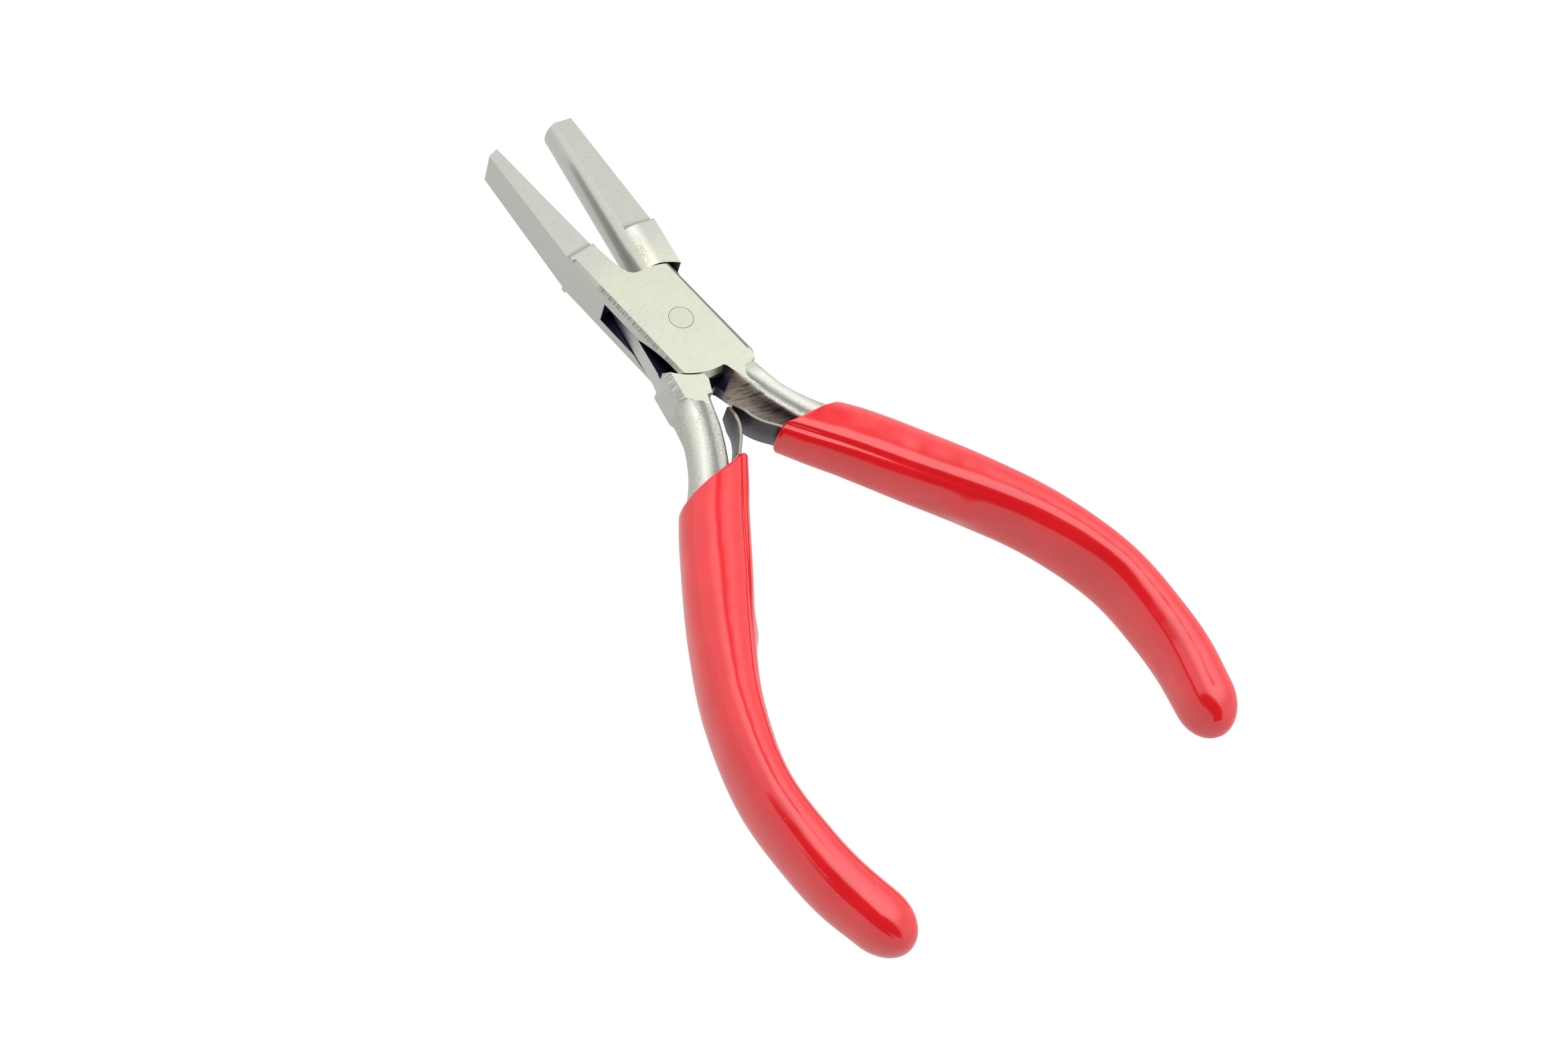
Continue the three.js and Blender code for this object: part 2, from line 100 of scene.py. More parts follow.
class Value:
    """A number that varies over a surface, written with Python's operators."""

    def __init__(self, tree: bpy.types.NodeTree, socket: bpy.types.NodeSocket) -> None:
        """Wraps a node's output socket."""
        self.tree = tree
        self.socket = socket

    def _math(self, operation: str, first: object, second: object = None) -> "Value":
        """Adds one Math node.

        Args:
            operation: the node's operation.
            first: the first value, a Value or a number.
            second: the second value, if the operation takes one.

        Returns:
            The node's result.
        """
        inputs = {0: first} if second is None else {0: first, 1: second}
        return add_node(self.tree, "ShaderNodeMath", {"operation": operation}, inputs)

    def __add__(self, other: object) -> "Value":
        """Returns the sum."""
        return self._math("ADD", self, other)

    def __radd__(self, other: object) -> "Value":
        """Returns the sum."""
        return self._math("ADD", other, self)

    def __sub__(self, other: object) -> "Value":
        """Returns the difference."""
        return self._math("SUBTRACT", self, other)

    def __rsub__(self, other: object) -> "Value":
        """Returns the reflected difference."""
        return self._math("SUBTRACT", other, self)

    def __mul__(self, other: object) -> "Value":
        """Returns the product."""
        return self._math("MULTIPLY", self, other)

    def __rmul__(self, other: object) -> "Value":
        """Returns the product."""
        return self._math("MULTIPLY", other, self)

    def __truediv__(self, other: object) -> "Value":
        """Returns the quotient."""
        return self._math("DIVIDE", self, other)

    def __rtruediv__(self, other: object) -> "Value":
        """Returns the reflected quotient."""
        return self._math("DIVIDE", other, self)

    def __abs__(self) -> "Value":
        """Returns the size without its sign."""
        return self._math("ABSOLUTE", self)

    def root(self) -> "Value":
        """Returns the square root."""
        return self._math("SQRT", self)

    def most(self, other: object) -> "Value":
        """Returns the larger of the two."""
        return self._math("MAXIMUM", self, other)

    def rise(self, low: float, high: float) -> "Value":
        """A smooth step.

        Args:
            low: where it is 0.
            high: where it is 1, which may be below low.

        Returns:
            A value from 0 to 1.
        """
        settings = {"interpolation_type": "SMOOTHSTEP"}
        first, last = (0.0, 1.0) if low <= high else (1.0, 0.0)
        inputs = {0: self, 1: min(low, high), 2: max(low, high), 3: first, 4: last}
        return add_node(self.tree, "ShaderNodeMapRange", settings, inputs)

    def hump(self, centre: float, width: float) -> "Value":
        """A bell curve.

        Args:
            centre: where it is 1.
            width: how far from there it falls to about a third.

        Returns:
            A value from 0 to 1.
        """
        scaled = (self - centre) / width
        return self._math("EXPONENT", scaled * scaled * -1.0)


class Tint:
    """A colour or vector output."""

    def __init__(self, tree: bpy.types.NodeTree, socket: bpy.types.NodeSocket) -> None:
        """Wraps a node's output socket."""
        self.tree = tree
        self.socket = socket


def add_node(
    tree: bpy.types.NodeTree,
    kind: str,
    settings: dict[str, object],
    inputs: dict[int | str, object],
    output: int | str = 0,
) -> Value:
    """Adds a node of any kind.

    Args:
        tree: the node tree.
        kind: the node's type.
        settings: properties, set before the sockets.
        inputs: values, or links from a Value or Tint, by socket.
        output: which output to return.

    Returns:
        The chosen output.
    """
    node = tree.nodes.new(kind)
    for name, setting in settings.items():
        setattr(node, name, setting)
    for key, given in inputs.items():
        if isinstance(given, (Value, Tint)):
            tree.links.new(given.socket, node.inputs[key])
        else:
            node.inputs[key].default_value = given
    return Value(tree, node.outputs[output])


@dataclass(frozen=True)
class Grain:
    """Noise, in cycles to a millimetre, with finer layers and its own stretch along each axis."""

    scale: float
    detail: float
    stretch: Point = (1.0, 1.0, 1.0)


class Paint:
    """The nodes of one material, with helpers in the object's own coordinates, in millimetres."""

    def __init__(self, name: str) -> None:
        """Makes an empty material with a Principled shader."""
        self.material = bpy.data.materials.new(name)
        self.material.use_nodes = True
        self.tree = self.material.node_tree
        self.shader = self.tree.nodes["Principled BSDF"]

    def node(
        self, kind: str, settings: dict[str, object], inputs: dict[int | str, object], output: int | str = 0
    ) -> Value:
        """Adds a node to this material; see add_node."""
        return add_node(self.tree, kind, settings, inputs, output)

    def split(self, source: str) -> tuple[Value, Value, Value]:
        """The three parts of a texture coordinate.

        Args:
            source: "Object" for the place, or "Normal" for the direction that the surface faces.

        Returns:
            X, Y and Z.
        """
        whole = self.node("ShaderNodeTexCoord", {}, {}, source)
        parts = self.node("ShaderNodeSeparateXYZ", {}, {0: whole}).socket.node.outputs
        x, y, z = (Value(self.tree, socket) for socket in parts)
        return x, y, z

    def place(self) -> tuple[Value, Value, Value]:
        """Returns X, Y and Z in millimetres."""
        x, y, z = self.split("Object")
        return x / MM, y / MM, z / MM

    def noise(self, at: Sequence[Value], grain: Grain) -> Value:
        """Smooth noise about 0.5.

        Args:
            at: its three coordinates.
            grain: its size, layers and stretch.

        Returns:
            The noise.
        """
        parts = {i: part * size for i, (part, size) in enumerate(zip(at, grain.stretch))}
        point = self.node("ShaderNodeCombineXYZ", {}, parts)
        inputs = {"Vector": point, "Scale": grain.scale, "Detail": grain.detail}
        return self.node("ShaderNodeTexNoise", {"noise_dimensions": "3D"}, inputs, "Fac")

    def mix(self, amount: object, first: object, second: object) -> Tint:
        """Mixes two colours.

        Args:
            amount: 0 for the first, 1 for the second.
            first: a colour or a Tint.
            second: a colour or a Tint.

        Returns:
            The mixed colour.
        """
        pair = [(*c, 1.0) if isinstance(c, tuple) else c for c in (first, second)]
        settings = {"data_type": "RGBA", "clamp_factor": True}
        made = self.node("ShaderNodeMix", settings, {0: amount, 6: pair[0], 7: pair[1]}, 2)
        return Tint(self.tree, made.socket)

    def link(self, name: str, given: Value | Tint) -> None:
        """Feeds one of the shader's sockets."""
        self.tree.links.new(given.socket, self.shader.inputs[name])

    def fix(self, **values: float | tuple[float, ...]) -> None:
        """Sets constant sockets, with underscores for the spaces in their names."""
        for name, value in values.items():
            self.shader.inputs[name.replace("_", " ")].default_value = value

    def bump(self, height: Value, depth: float) -> None:
        """Feeds the Normal from a height.

        Args:
            height: about 0 to 1.
            depth: what 1 stands for, in millimetres.
        """
        made = self.node("ShaderNodeBump", {}, {"Height": height, "Distance": depth * MM, "Strength": 1.0})
        self.link("Normal", made)


# ---- Finishes ----


@dataclass(frozen=True)
class Wash:
    """How much of a second colour comes in as a mask goes from low to high."""

    low: float
    high: float
    most: float = 1.0

    def over(self, mask: Value) -> Value:
        """Returns the amount of the second colour."""
        return mask.rise(self.low, self.high) * self.most


@dataclass(frozen=True)
class LeverSurface:
    """A point of a lever's surface: its place, how it faces, its zones and its grains.

    x and y are in the lever's own closed frame, and rest_y and z are in the model's.
    """

    x: Value
    y: Value
    z: Value
    rest_y: Value
    across: Value  # how squarely it faces along x
    up: Value  # how squarely it faces up
    level: Value  # distance from the middle of the thickness
    flat: Value  # the flat top and bottom faces
    head: Value  # the jaw and the joint, down to where the forging starts
    forging: Value  # what grinding hasn't touched
    inner: Value  # the handle's dark inner face
    edge: Value  # the jaw's ground edge, with its streaks
    bevel: Value  # the chamfer on the edge across from it, painted dark as shade
    ridge: Value  # the crest along the handle: a bump, with a painted highlight
    valley: Value  # the hollow beside the crest: a dip, with painted shade
    brush: Value
    grit: Value
    streaks: Value
    scratches: Value


@dataclass(frozen=True)
class LeverFinish:
    """Forged steel, ground on its joint and jaws, as seen in a lever's own closed frame.

    The handle's inner faces are left dark from the forge. Shade and a highlight are painted into the
    colour: on the side faces, on the bevel, rim and step, on the crest and its hollow, and inside the
    joint. A span gives where a mask is 0 and where it is 1. Places are in millimetres, and a facing is
    the cosine of its angle.
    """

    name: str
    turn_deg: float
    side: Side
    streaked_to: float
    forge_start: float

    # Colours
    ground: Colour = (0.72, 0.73, 0.60)
    jaw: Colour = (0.63, 0.65, 0.575)
    # Grey steel for the clouds, streaks and scratches, and the painted shade of the side faces.
    grey_steel_and_side_shade: Colour = (0.58, 0.585, 0.55)
    forged: Colour = (0.60, 0.605, 0.55)
    # Dark steel for brushing, grit, pits and streaks, and the colour of the painted shade lines, the
    # crest's hollow and the tongue's sides.
    hollow: Colour = (0.17, 0.17, 0.165)
    scale: Colour = (0.52, 0.45, 0.38)
    # Black scale on the handle's inner face, and painted shadow inside the joint.
    black_scale_and_shade: Colour = (0.022, 0.019, 0.04)
    rust: Colour = (0.36, 0.27, 0.20)
    blued: Colour = (0.55, 0.54, 0.64)
    # The painted highlight along the handle's crest.
    bright: Colour = (0.86, 0.86, 0.77)
    # The tongue's side where its painted shade fades out.
    tongue_light: Colour = (0.62, 0.62, 0.58)
    # Painted shade inside the slot.
    slot_shade: Colour = (0.07, 0.062, 0.13)

    # The handle's core, and where its crest and hollow run beside its middle line
    core_from: float = -11.4
    core_bend: tuple[float, float, float] = (5.1, 0.26, 0.012)
    core_lean: float = 0.86
    core_edge: Span = (-1.35, -1.65)
    flare: float = 3.2
    flare_length: float = 3.0
    ridge_at: float = 0.45
    ridge_width: float = 0.9
    ridge_down: Span = (1.0, 4.0)
    ridge_up: Span = (0.0, 0.5)
    valley_at: float = -1.2
    valley_width: float = 0.6
    valley_down: Span = (0.3, 2.0)
    valley_up: Span = (0.2, 0.6)
    inner_facing: Span = (0.45, 0.8)
    inner_from: Span = (-8.6, -10.6)

    # The joint and the jaw, with where their painted shade goes: bevel, rim, step, tongue, lap and slot
    flat_facing: Span = (0.93, 0.985)
    face_level: Span = (4.40, 4.49)
    head_fade: float = 0.8
    tilt_from: Span = (0.3, 0.5)
    tilt_to: Span = (0.97, 0.88)
    bevel_facing: Span = (0.3, 0.5)
    bevel_below: Span = (12.0, 11.0)
    streak_fade: float = 0.6
    # Which faces get the painted shade of the side faces.
    flank_facing: Span = (0.6, 0.9)
    jaw_from: Span = (11.0, 18.0)
    step_at: float = 19.35
    step_width: float = 0.45
    rim_from: float = 99.0
    rim_width: float = 0.12
    rim_reach: Span = (10.8, 10.2)
    tongue: bool = False
    tongue_level: Span = (1.95, 1.85)
    tongue_radius: Span = (11.97, 11.85)
    tongue_facing: Span = (0.5, 0.8)
    tongue_fade: Span = (-3.0, 9.0)
    lap_top: Span = (13.2, 10.9)
    lap_foot: Span = (9.0, 10.2)
    lap_tilt: Span = (0.5, 0.3)
    lap_facing: Span = (0.5, 0.9)
    slot_level: Span = (2.21, 2.11)
    slot_radius: Span = (12.35, 12.25)
    stain_at: tuple[float, float] = (0.0, 0.0)
    stain_size: tuple[float, float] = (1.0, 1.0)
    stain_up: Span = (0.1, 0.5)

    # Grains, and how much of a second colour they bring in
    streak: Grain = Grain(3.2, 3.0, (0.1, 1.0, 0.1))
    streak_contrast: Wash = Wash(0.36, 0.64)
    brushing: Grain = Grain(6.0, 3.0, (0.1, 1.0, 1.0))
    brush_dark: Wash = Wash(0.48, 0.70, 0.16)
    cloud: Grain = Grain(0.16, 2.0)
    cloud_grey: Wash = Wash(0.3, 0.7, 0.16)
    gritty: Grain = Grain(3.0, 4.0)
    grit_dark: Wash = Wash(0.42, 0.68, 0.35)
    grit_rust: Wash = Wash(0.32, 0.62)
    pit: Grain = Grain(1.3, 3.0)
    pit_contrast: Wash = Wash(0.60, 0.72)
    scratch: Grain = Grain(2.4, 4.0, (1.0, 0.12, 0.1))
    scratch_slant: float = 0.6
    scratch_light: Wash = Wash(0.50, 0.68, 0.5)
    scratch_dark: Wash = Wash(0.48, 0.34, 0.6)
    blued_below: Wash = Wash(-6.0, -8.0)
    blued_from: Wash = Wash(-14.0, -18.0, 0.7)
    sooty_above: Wash = Wash(-4.2, -0.8)
    sooty_from: Wash = Wash(-16.0, -23.0, 0.85)
    root_soot: Span = (-14.0, -11.0)

    # How strong each mark is: bevel, rim, step and valley are painted shade, ridge a painted highlight
    edge_strength: float = 0.6
    bevel_strength: float = 0.8
    rim_strength: float = 0.85
    step_strength: float = 0.55
    ridge_strength: float = 0.8
    valley_strength: float = 0.72
    pit_strength: float = 0.25
    stain_strength: float = 0.65

    # Gloss and relief
    rough: float = 0.36
    rough_brush: float = 0.10
    rough_forging: float = 0.10
    rough_inner: float = 0.08
    polish: float = 0.0
    polish_facing: Span = (0.35, 0.6)
    polish_from: Span = (9.0, 11.0)
    index: float = 2.2
    relief: float = 0.06
    brush_relief: float = 0.10
    streak_relief: float = 0.3
    grit_relief: float = 0.55
    ridge_relief: float = 1.6
    valley_relief: float = 3.0
    scratch_relief: float = 0.5

    def _read(self, paint: Paint) -> LeverSurface:
        """Works out a point's place, zones and grains.

        Args:
            paint: the material.

        Returns:
            What the colours, the gloss and the relief are made from.
        """
        rest_x, rest_y, z = paint.place()
        facing_x, facing_y, up = paint.split("Normal")
        turn = math.radians(self.turn_deg)
        x = rest_x * math.cos(turn) + rest_y * math.sin(turn)
        y = rest_y * math.cos(turn) - rest_x * math.sin(turn)
        across = facing_x * math.cos(turn) + facing_y * math.sin(turn)
        level = abs(z - MID_Z)
        flat = abs(up).rise(*self.flat_facing)
        head = y.rise(self.forge_start - self.head_fade, self.forge_start)

        start, slope, curve = self.core_bend
        down = (self.core_from - rest_y).most(0.0)
        middle = start + down * slope + down * down * curve
        outward = ((rest_x - SYMMETRY_X) * float(self.side.value) - middle) * self.core_lean
        flare = y.rise(self.forge_start - self.flare_length, self.forge_start) * self.flare
        beside_core = (outward - flare).rise(*self.core_edge)
        ground = flat * level.rise(*self.face_level) * head.most(beside_core)
        inward = across * float(-self.side.value)
        ridge = outward.hump(self.ridge_at, self.ridge_width) * down.rise(*self.ridge_down)
        valley = outward.hump(self.valley_at, self.valley_width) * down.rise(*self.valley_down)

        low, high = self.bevel_facing
        tilted = abs(up).rise(*self.tilt_from) * abs(up).rise(*self.tilt_to) * head
        streaked = y.rise(self.streaked_to, self.streaked_to - self.streak_fade)
        slanted = (rest_y + z * self.scratch_slant, rest_y * self.scratch_slant - z, x)
        return LeverSurface(
            x=x,
            y=y,
            z=z,
            rest_y=rest_y,
            across=across,
            up=up,
            level=level,
            flat=flat,
            head=head,
            forging=(1 - head) * (1 - ground),
            inner=inward.rise(*self.inner_facing) * y.rise(*self.inner_from) * (1 - flat),
            edge=tilted * across.rise(-low, -high) * streaked,
            bevel=tilted * across.rise(low, high) * y.rise(*self.bevel_below),
            ridge=ridge * up.rise(*self.ridge_up),
            valley=valley * up.rise(*self.valley_up),
            brush=paint.noise((x, y, z), self.brushing),
            grit=paint.noise((x, y, z), self.gritty),
            streaks=self.streak_contrast.over(paint.noise((x, y, z), self.streak)),
            scratches=paint.noise(slanted, self.scratch),
        )

    def _ground_colour(self, paint: Paint, at: LeverSurface) -> Tint:
        """The jaw's and the joint's ground steel, with painted shade on its side faces, bevel, rim and
        step.

        Args:
            paint: the material.
            at: the point.

        Returns:
            Its colour.
        """
        cloud = paint.noise((at.x, at.y, at.z), self.cloud)
        colour = paint.mix(at.y.rise(*self.jaw_from), self.ground, self.jaw)
        colour = paint.mix(self.cloud_grey.over(cloud), colour, self.grey_steel_and_side_shade)
        colour = paint.mix(self.brush_dark.over(at.brush), colour, self.hollow)
        # Painted shade: faces that turn sideways are painted a darker grey.
        side_shade = abs(at.across).rise(*self.flank_facing) * (1 - at.flat)
        colour = paint.mix(side_shade, colour, self.grey_steel_and_side_shade)
        streaked = paint.mix(at.streaks, self.grey_steel_and_side_shade, self.hollow)
        colour = paint.mix(at.edge * self.edge_strength, colour, streaked)
        # Painted shade: dark lines along the rim of the flat top, on the bevel and at the step.
        rim = at.x.rise(self.rim_from, self.rim_from + self.rim_width)
        rim = rim * abs(at.y).rise(*self.rim_reach) * at.flat
        step_shade = at.y.hump(self.step_at, self.step_width) * at.flat
        shade_lines = (at.bevel * self.bevel_strength).most(rim * self.rim_strength)
        return paint.mix(shade_lines.most(step_shade * self.step_strength), colour, self.hollow)

    def _forged_colour(self, paint: Paint, at: LeverSurface) -> Tint:
        """The handle's forged steel, with a painted highlight on its crest and painted shade in its hollow.

        Args:
            paint: the material.
            at: the point.

        Returns:
            Its colour.
        """
        colour = paint.mix(self.grit_dark.over(at.grit), self.forged, self.hollow)
        # Painted highlight on the crest, and painted shade in the hollow beside it.
        colour = paint.mix(at.ridge * self.ridge_strength, colour, self.bright)
        return paint.mix(at.valley * self.valley_strength, colour, self.hollow)

    def _scale_colour(self, paint: Paint, at: LeverSurface) -> Tint:
        """The scratched scale on the handle's inner face.

        Args:
            paint: the material.
            at: the point.

        Returns:
            Its colour.
        """
        colour = paint.mix(self.scratch_light.over(at.scratches), self.scale, self.grey_steel_and_side_shade)
        colour = paint.mix(self.scratch_dark.over(at.scratches), colour, self.black_scale_and_shade)
        blued = self.blued_below.over(at.z) * self.blued_from.over(at.rest_y)
        colour = paint.mix(blued, colour, self.blued)
        sooty = self.sooty_above.over(at.z) * self.sooty_from.over(at.rest_y)
        colour = paint.mix(sooty, colour, self.black_scale_and_shade)
        return paint.mix(at.rest_y.rise(*self.root_soot), colour, self.black_scale_and_shade)

    def _joint_colour(self, paint: Paint, at: LeverSurface, colour: Tint) -> Tint:
        """Paints shade into what is inside the box joint: the tongue of one lever, or the other's slot.

        Args:
            paint: the material.
            at: the point.
            colour: the colour so far.

        Returns:
            The colour with its painted shade.
        """
        radius = (at.x * at.x + at.y * at.y).root()
        if not self.tongue:
            # Painted shade inside the slot and on the thinned corners facing it; relief here is that shade.
            slot = at.level.rise(*self.slot_level) * radius.rise(*self.slot_radius)
            relief = slot_corner_shade(at.level, at.x, at.y, abs(at.up))
            return paint.mix(slot.most(relief), colour, self.slot_shade)
        # Painted shade on the tongue inside the cheeks: the colour of its sides darkens toward the jaw, and
        # its flat faces go black.
        shade = at.level.rise(*self.tongue_level) * radius.rise(*self.tongue_radius)
        worn = paint.mix(at.y.rise(*self.tongue_fade), self.tongue_light, self.hollow)
        colour = paint.mix(shade * abs(at.across).rise(*self.tongue_facing), colour, worn)
        colour = paint.mix(shade * at.flat, colour, self.black_scale_and_shade)
        # Painted shade on the upright faces at the shoulder that face along the lever.
        lap_shade = at.y.rise(*self.lap_top) * at.y.rise(*self.lap_foot) * abs(at.up).rise(*self.lap_tilt)
        return paint.mix(lap_shade * (1 - abs(at.across).rise(*self.lap_facing)), colour, self.black_scale_and_shade)

    def _stained(self, paint: Paint, at: LeverSurface, colour: Tint) -> Tint:
        """Adds a small patch of rust.

        Args:
            paint: the material.
            at: the point.
            colour: the colour so far.

        Returns:
            The colour with its rust.
        """
        stain = at.x.hump(self.stain_at[0], self.stain_size[0])
        stain = stain * at.y.hump(self.stain_at[1], self.stain_size[1]) * at.up.rise(*self.stain_up)
        patchy = stain * self.grit_rust.over(at.grit) * self.stain_strength
        return paint.mix(patchy, colour, self.rust)

    def material(self) -> bpy.types.Material:
        """Builds the material.

        Returns:
            The finished material.
        """
        paint = Paint(self.name)
        at = self._read(paint)
        pits = self.pit_contrast.over(paint.noise((at.x, at.y, at.z), self.pit)) * (1 - at.head)
        colour = paint.mix(at.forging, self._ground_colour(paint, at), self._forged_colour(paint, at))
        colour = paint.mix(pits * self.pit_strength, colour, self.hollow)
        colour = paint.mix(at.inner, colour, self._scale_colour(paint, at))
        colour = self._joint_colour(paint, at, colour)
        paint.link("Base Color", self._stained(paint, at, colour))

        polished = abs(at.across).rise(*self.polish_facing) * at.y.rise(*self.polish_from)
        rough = self.rough + at.brush * self.rough_brush + at.forging * self.rough_forging
        rough = rough + at.inner * self.rough_inner - polished * (1 - at.flat) * self.polish
        paint.link("Roughness", rough)
        paint.fix(Metallic=1.0, IOR=self.index)

        machined = at.brush * (1 - at.forging) * self.brush_relief
        machined = machined + at.streaks * at.edge * self.streak_relief
        forged = at.grit * self.grit_relief + at.ridge * self.ridge_relief - at.valley * self.valley_relief
        scratched = at.scratches * at.inner * self.scratch_relief
        paint.bump(machined + at.forging * forged + scratched, self.relief)
        return paint.material


def slot_corner_shade(level: Value, x: Value, y: Value, upright: Value) -> Value:
    """Painted shade where a cheek's thinned corner faces the slot.

    Args:
        level: distance from the middle of the thickness.
        x: across the joint.
        y: along the joint.
        upright: how squarely the surface faces up or down.

    Returns:
        How dark the painted shade is: more than 0 only on the thinned faces.
    """
    thinned, facing, darkness = (4.1, 3.7), (0.75, 0.9), 0.55
    side, near, far = (3.6, 4.0), (-2.0, -1.4), (14.0, 13.0)
    deep = level.rise(*thinned) * upright.rise(*facing)
    corners = [
        (x * way).rise(*side) * (y * way).rise(*near) * (y * way).rise(*far)
        for way in (-1.0, 1.0)
    ]
    return deep * corners[0].most(corners[1]) * darkness


@dataclass(frozen=True)
class VinylFinish:
    """Glossy vinyl from dipping, with dust in the skin and a few light rubs."""

    name: str = "red_vinyl"
    red: Colour = (0.84, 0.006, 0.014)
    deep: Colour = (0.76, 0.004, 0.010)
    dust: Colour = (0.85, 0.45, 0.30)
    cloud: Grain = Grain(0.12, 2.0)
    cloud_deep: Wash = Wash(0.3, 0.7)
    speck: Grain = Grain(1.9, 1.0)
    speck_contrast: Wash = Wash(0.78, 0.82)
    speck_strength: float = 0.5
    rub: Grain = Grain(0.9, 3.0, (0.25, 1.6, 0.25))
    rub_contrast: Wash = Wash(0.72, 0.80)
    gloss: float = 0.15
    gloss_cloud: float = 0.04
    gloss_rub: float = 0.14
    index: float = 1.80
    swell: Grain = Grain(0.18, 1.0)
    relief: float = 0.10
    swell_relief: float = 1.6
    speck_relief: float = 0.12
    rub_relief: float = 0.05

    def material(self) -> bpy.types.Material:
        """Builds the material.

        Returns:
            The finished material.
        """
        paint = Paint(self.name)
        x, y, z = paint.place()
        cloud = paint.noise((x, y, z), self.cloud)
        specks = self.speck_contrast.over(paint.noise((x, y, z), self.speck))
        rubs = self.rub_contrast.over(paint.noise((x + z, x - y, z), self.rub))
        colour = paint.mix(self.cloud_deep.over(cloud), self.red, self.deep)
        colour = paint.mix(specks * self.speck_strength, colour, self.dust)
        paint.link("Base Color", colour)
        paint.link("Roughness", self.gloss + cloud * self.gloss_cloud + rubs * self.gloss_rub)
        paint.fix(Metallic=0.0, IOR=self.index)
        swell = paint.noise((x, y, z), self.swell) * self.swell_relief
        paint.bump(swell + specks * self.speck_relief + rubs * self.rub_relief, self.relief)
        return paint.material


@dataclass(frozen=True)
class SpringFinish:
    """Tempered strip: dark on its faces and lighter on its narrow edges, which face up and down."""

    name: str = "spring_steel"
    temper: Colour = (0.075, 0.07, 0.07)
    blued: Colour = (0.19, 0.19, 0.22)
    edge: Colour = (0.42, 0.40, 0.35)
    rolled: Grain = Grain(5.0, 3.0, (0.4, 0.4, 1.0))
    rolled_blue: Wash = Wash(0.45, 0.7, 0.35)
    blued_below: Wash = Wash(-3.6, -6.8, 0.8)
    edge_facing: Span = (0.4, 0.8)
    rough: float = 0.34
    rough_grain: float = 0.12
    relief: float = 0.012

    def material(self) -> bpy.types.Material:
        """Builds the material.

        Returns:
            The finished material.
        """
        paint = Paint(self.name)
        x, y, z = paint.place()
        upright = abs(paint.split("Normal")[2])
        grain = paint.noise((x, y, z), self.rolled)
        colour = paint.mix(self.blued_below.over(z), self.temper, self.blued)
        colour = paint.mix(self.rolled_blue.over(grain), colour, self.blued)
        colour = paint.mix(upright.rise(*self.edge_facing), colour, self.edge)
        paint.link("Base Color", colour)
        paint.link("Roughness", self.rough + grain * self.rough_grain)
        paint.fix(Metallic=1.0)
        paint.bump(grain, self.relief)
        return paint.material


@dataclass(frozen=True)
class RivetFinish:
    """A rivet ground off level with the face round it."""

    name: str = "rivet_steel"
    steel: Colour = (0.70, 0.71, 0.59)
    worn: Colour = (0.45, 0.45, 0.42)
    brushing: Grain = Grain(6.0, 3.0, (0.1, 1.0, 1.0))
    brush_dark: Wash = Wash(0.4, 0.75, 0.4)
    rough: float = 0.34
    rough_brush: float = 0.10
    relief: float = 0.006

    def material(self) -> bpy.types.Material:
        """Builds the material.

        Returns:
            The finished material.
        """
        paint = Paint(self.name)
        brush = paint.noise(paint.place(), self.brushing)
        paint.link("Base Color", paint.mix(self.brush_dark.over(brush), self.steel, self.worn))
        paint.link("Roughness", self.rough + brush * self.rough_brush)
        paint.fix(Metallic=1.0)
        paint.bump(brush, self.relief)
        return paint.material


# ---- Meshes ----


def new_piece(name: str, build: bmesh.types.BMesh, material: bpy.types.Material) -> bpy.types.Object:
    """Turns a built mesh into a piece.

    Args:
        name: the piece's name.
        build: its mesh, in metres, which is freed.
        material: its finish.

    Returns:
        The piece, linked to the scene.
    """
    bmesh.ops.recalc_face_normals(build, faces=build.faces)
    mesh = bpy.data.meshes.new(name)
    build.to_mesh(mesh)
    build.free()
    mesh.materials.append(material)
    piece = bpy.data.objects.new(name, mesh)
    bpy.context.scene.collection.objects.link(piece)
    return piece


def apply_modifiers(piece: bpy.types.Object) -> None:
    """Turns a piece's modifiers into its mesh.

    Args:
        piece: the piece, whose modifiers are removed.
    """
    bpy.context.view_layer.update()
    shaped = piece.evaluated_get(bpy.context.evaluated_depsgraph_get())
    piece.data = bpy.data.meshes.new_from_object(shaped)
    piece.modifiers.clear()


def soften(mesh: bpy.types.Mesh, angle_deg: float) -> None:
    """Shades a mesh smooth between its sharp edges.

    Args:
        mesh: the mesh.
        angle_deg: edges that turn by more than this stay sharp.
    """
    build = bmesh.new()
    build.from_mesh(mesh)
    limit = math.radians(angle_deg)
    for part in build.faces:
        part.smooth = True
    for rim in build.edges:
        rim.smooth = len(rim.link_faces) == 2 and rim.calc_face_angle(0.0) < limit
    build.to_mesh(mesh)
    build.free()


def skin(rings: Sequence[Sequence[Point]]) -> bmesh.types.BMesh:
    """A closed tube through rings of the same number of points, with a fan on each end.

    Args:
        rings: points in millimetres.

    Returns:
        The mesh, in metres.
    """
    build = bmesh.new()
    rows = [[build.verts.new(Vector(point) * MM) for point in ring] for ring in rings]
    for near, far in zip(rows, rows[1:]):
        for i, corner in enumerate(near):
            after = (i + 1) % len(near)
            build.faces.new((corner, near[after], far[after], far[i]))
    for row in (rows[0], rows[-1]):
        middle = sum((corner.co for corner in row), Vector()) / len(row)
        hub = build.verts.new(middle)
        for i, corner in enumerate(row):
            build.faces.new((corner, row[(i + 1) % len(row)], hub))
    return build


def bell(offset: float, width: float) -> float:
    """Returns a bell curve: 1 at no offset, and about a third at the width."""
    return math.exp(-((offset / width) ** 2))


def signed_power(value: float, power: float) -> float:
    """Returns the value raised to a power, with its sign kept."""
    return math.copysign(abs(value) ** power, value)


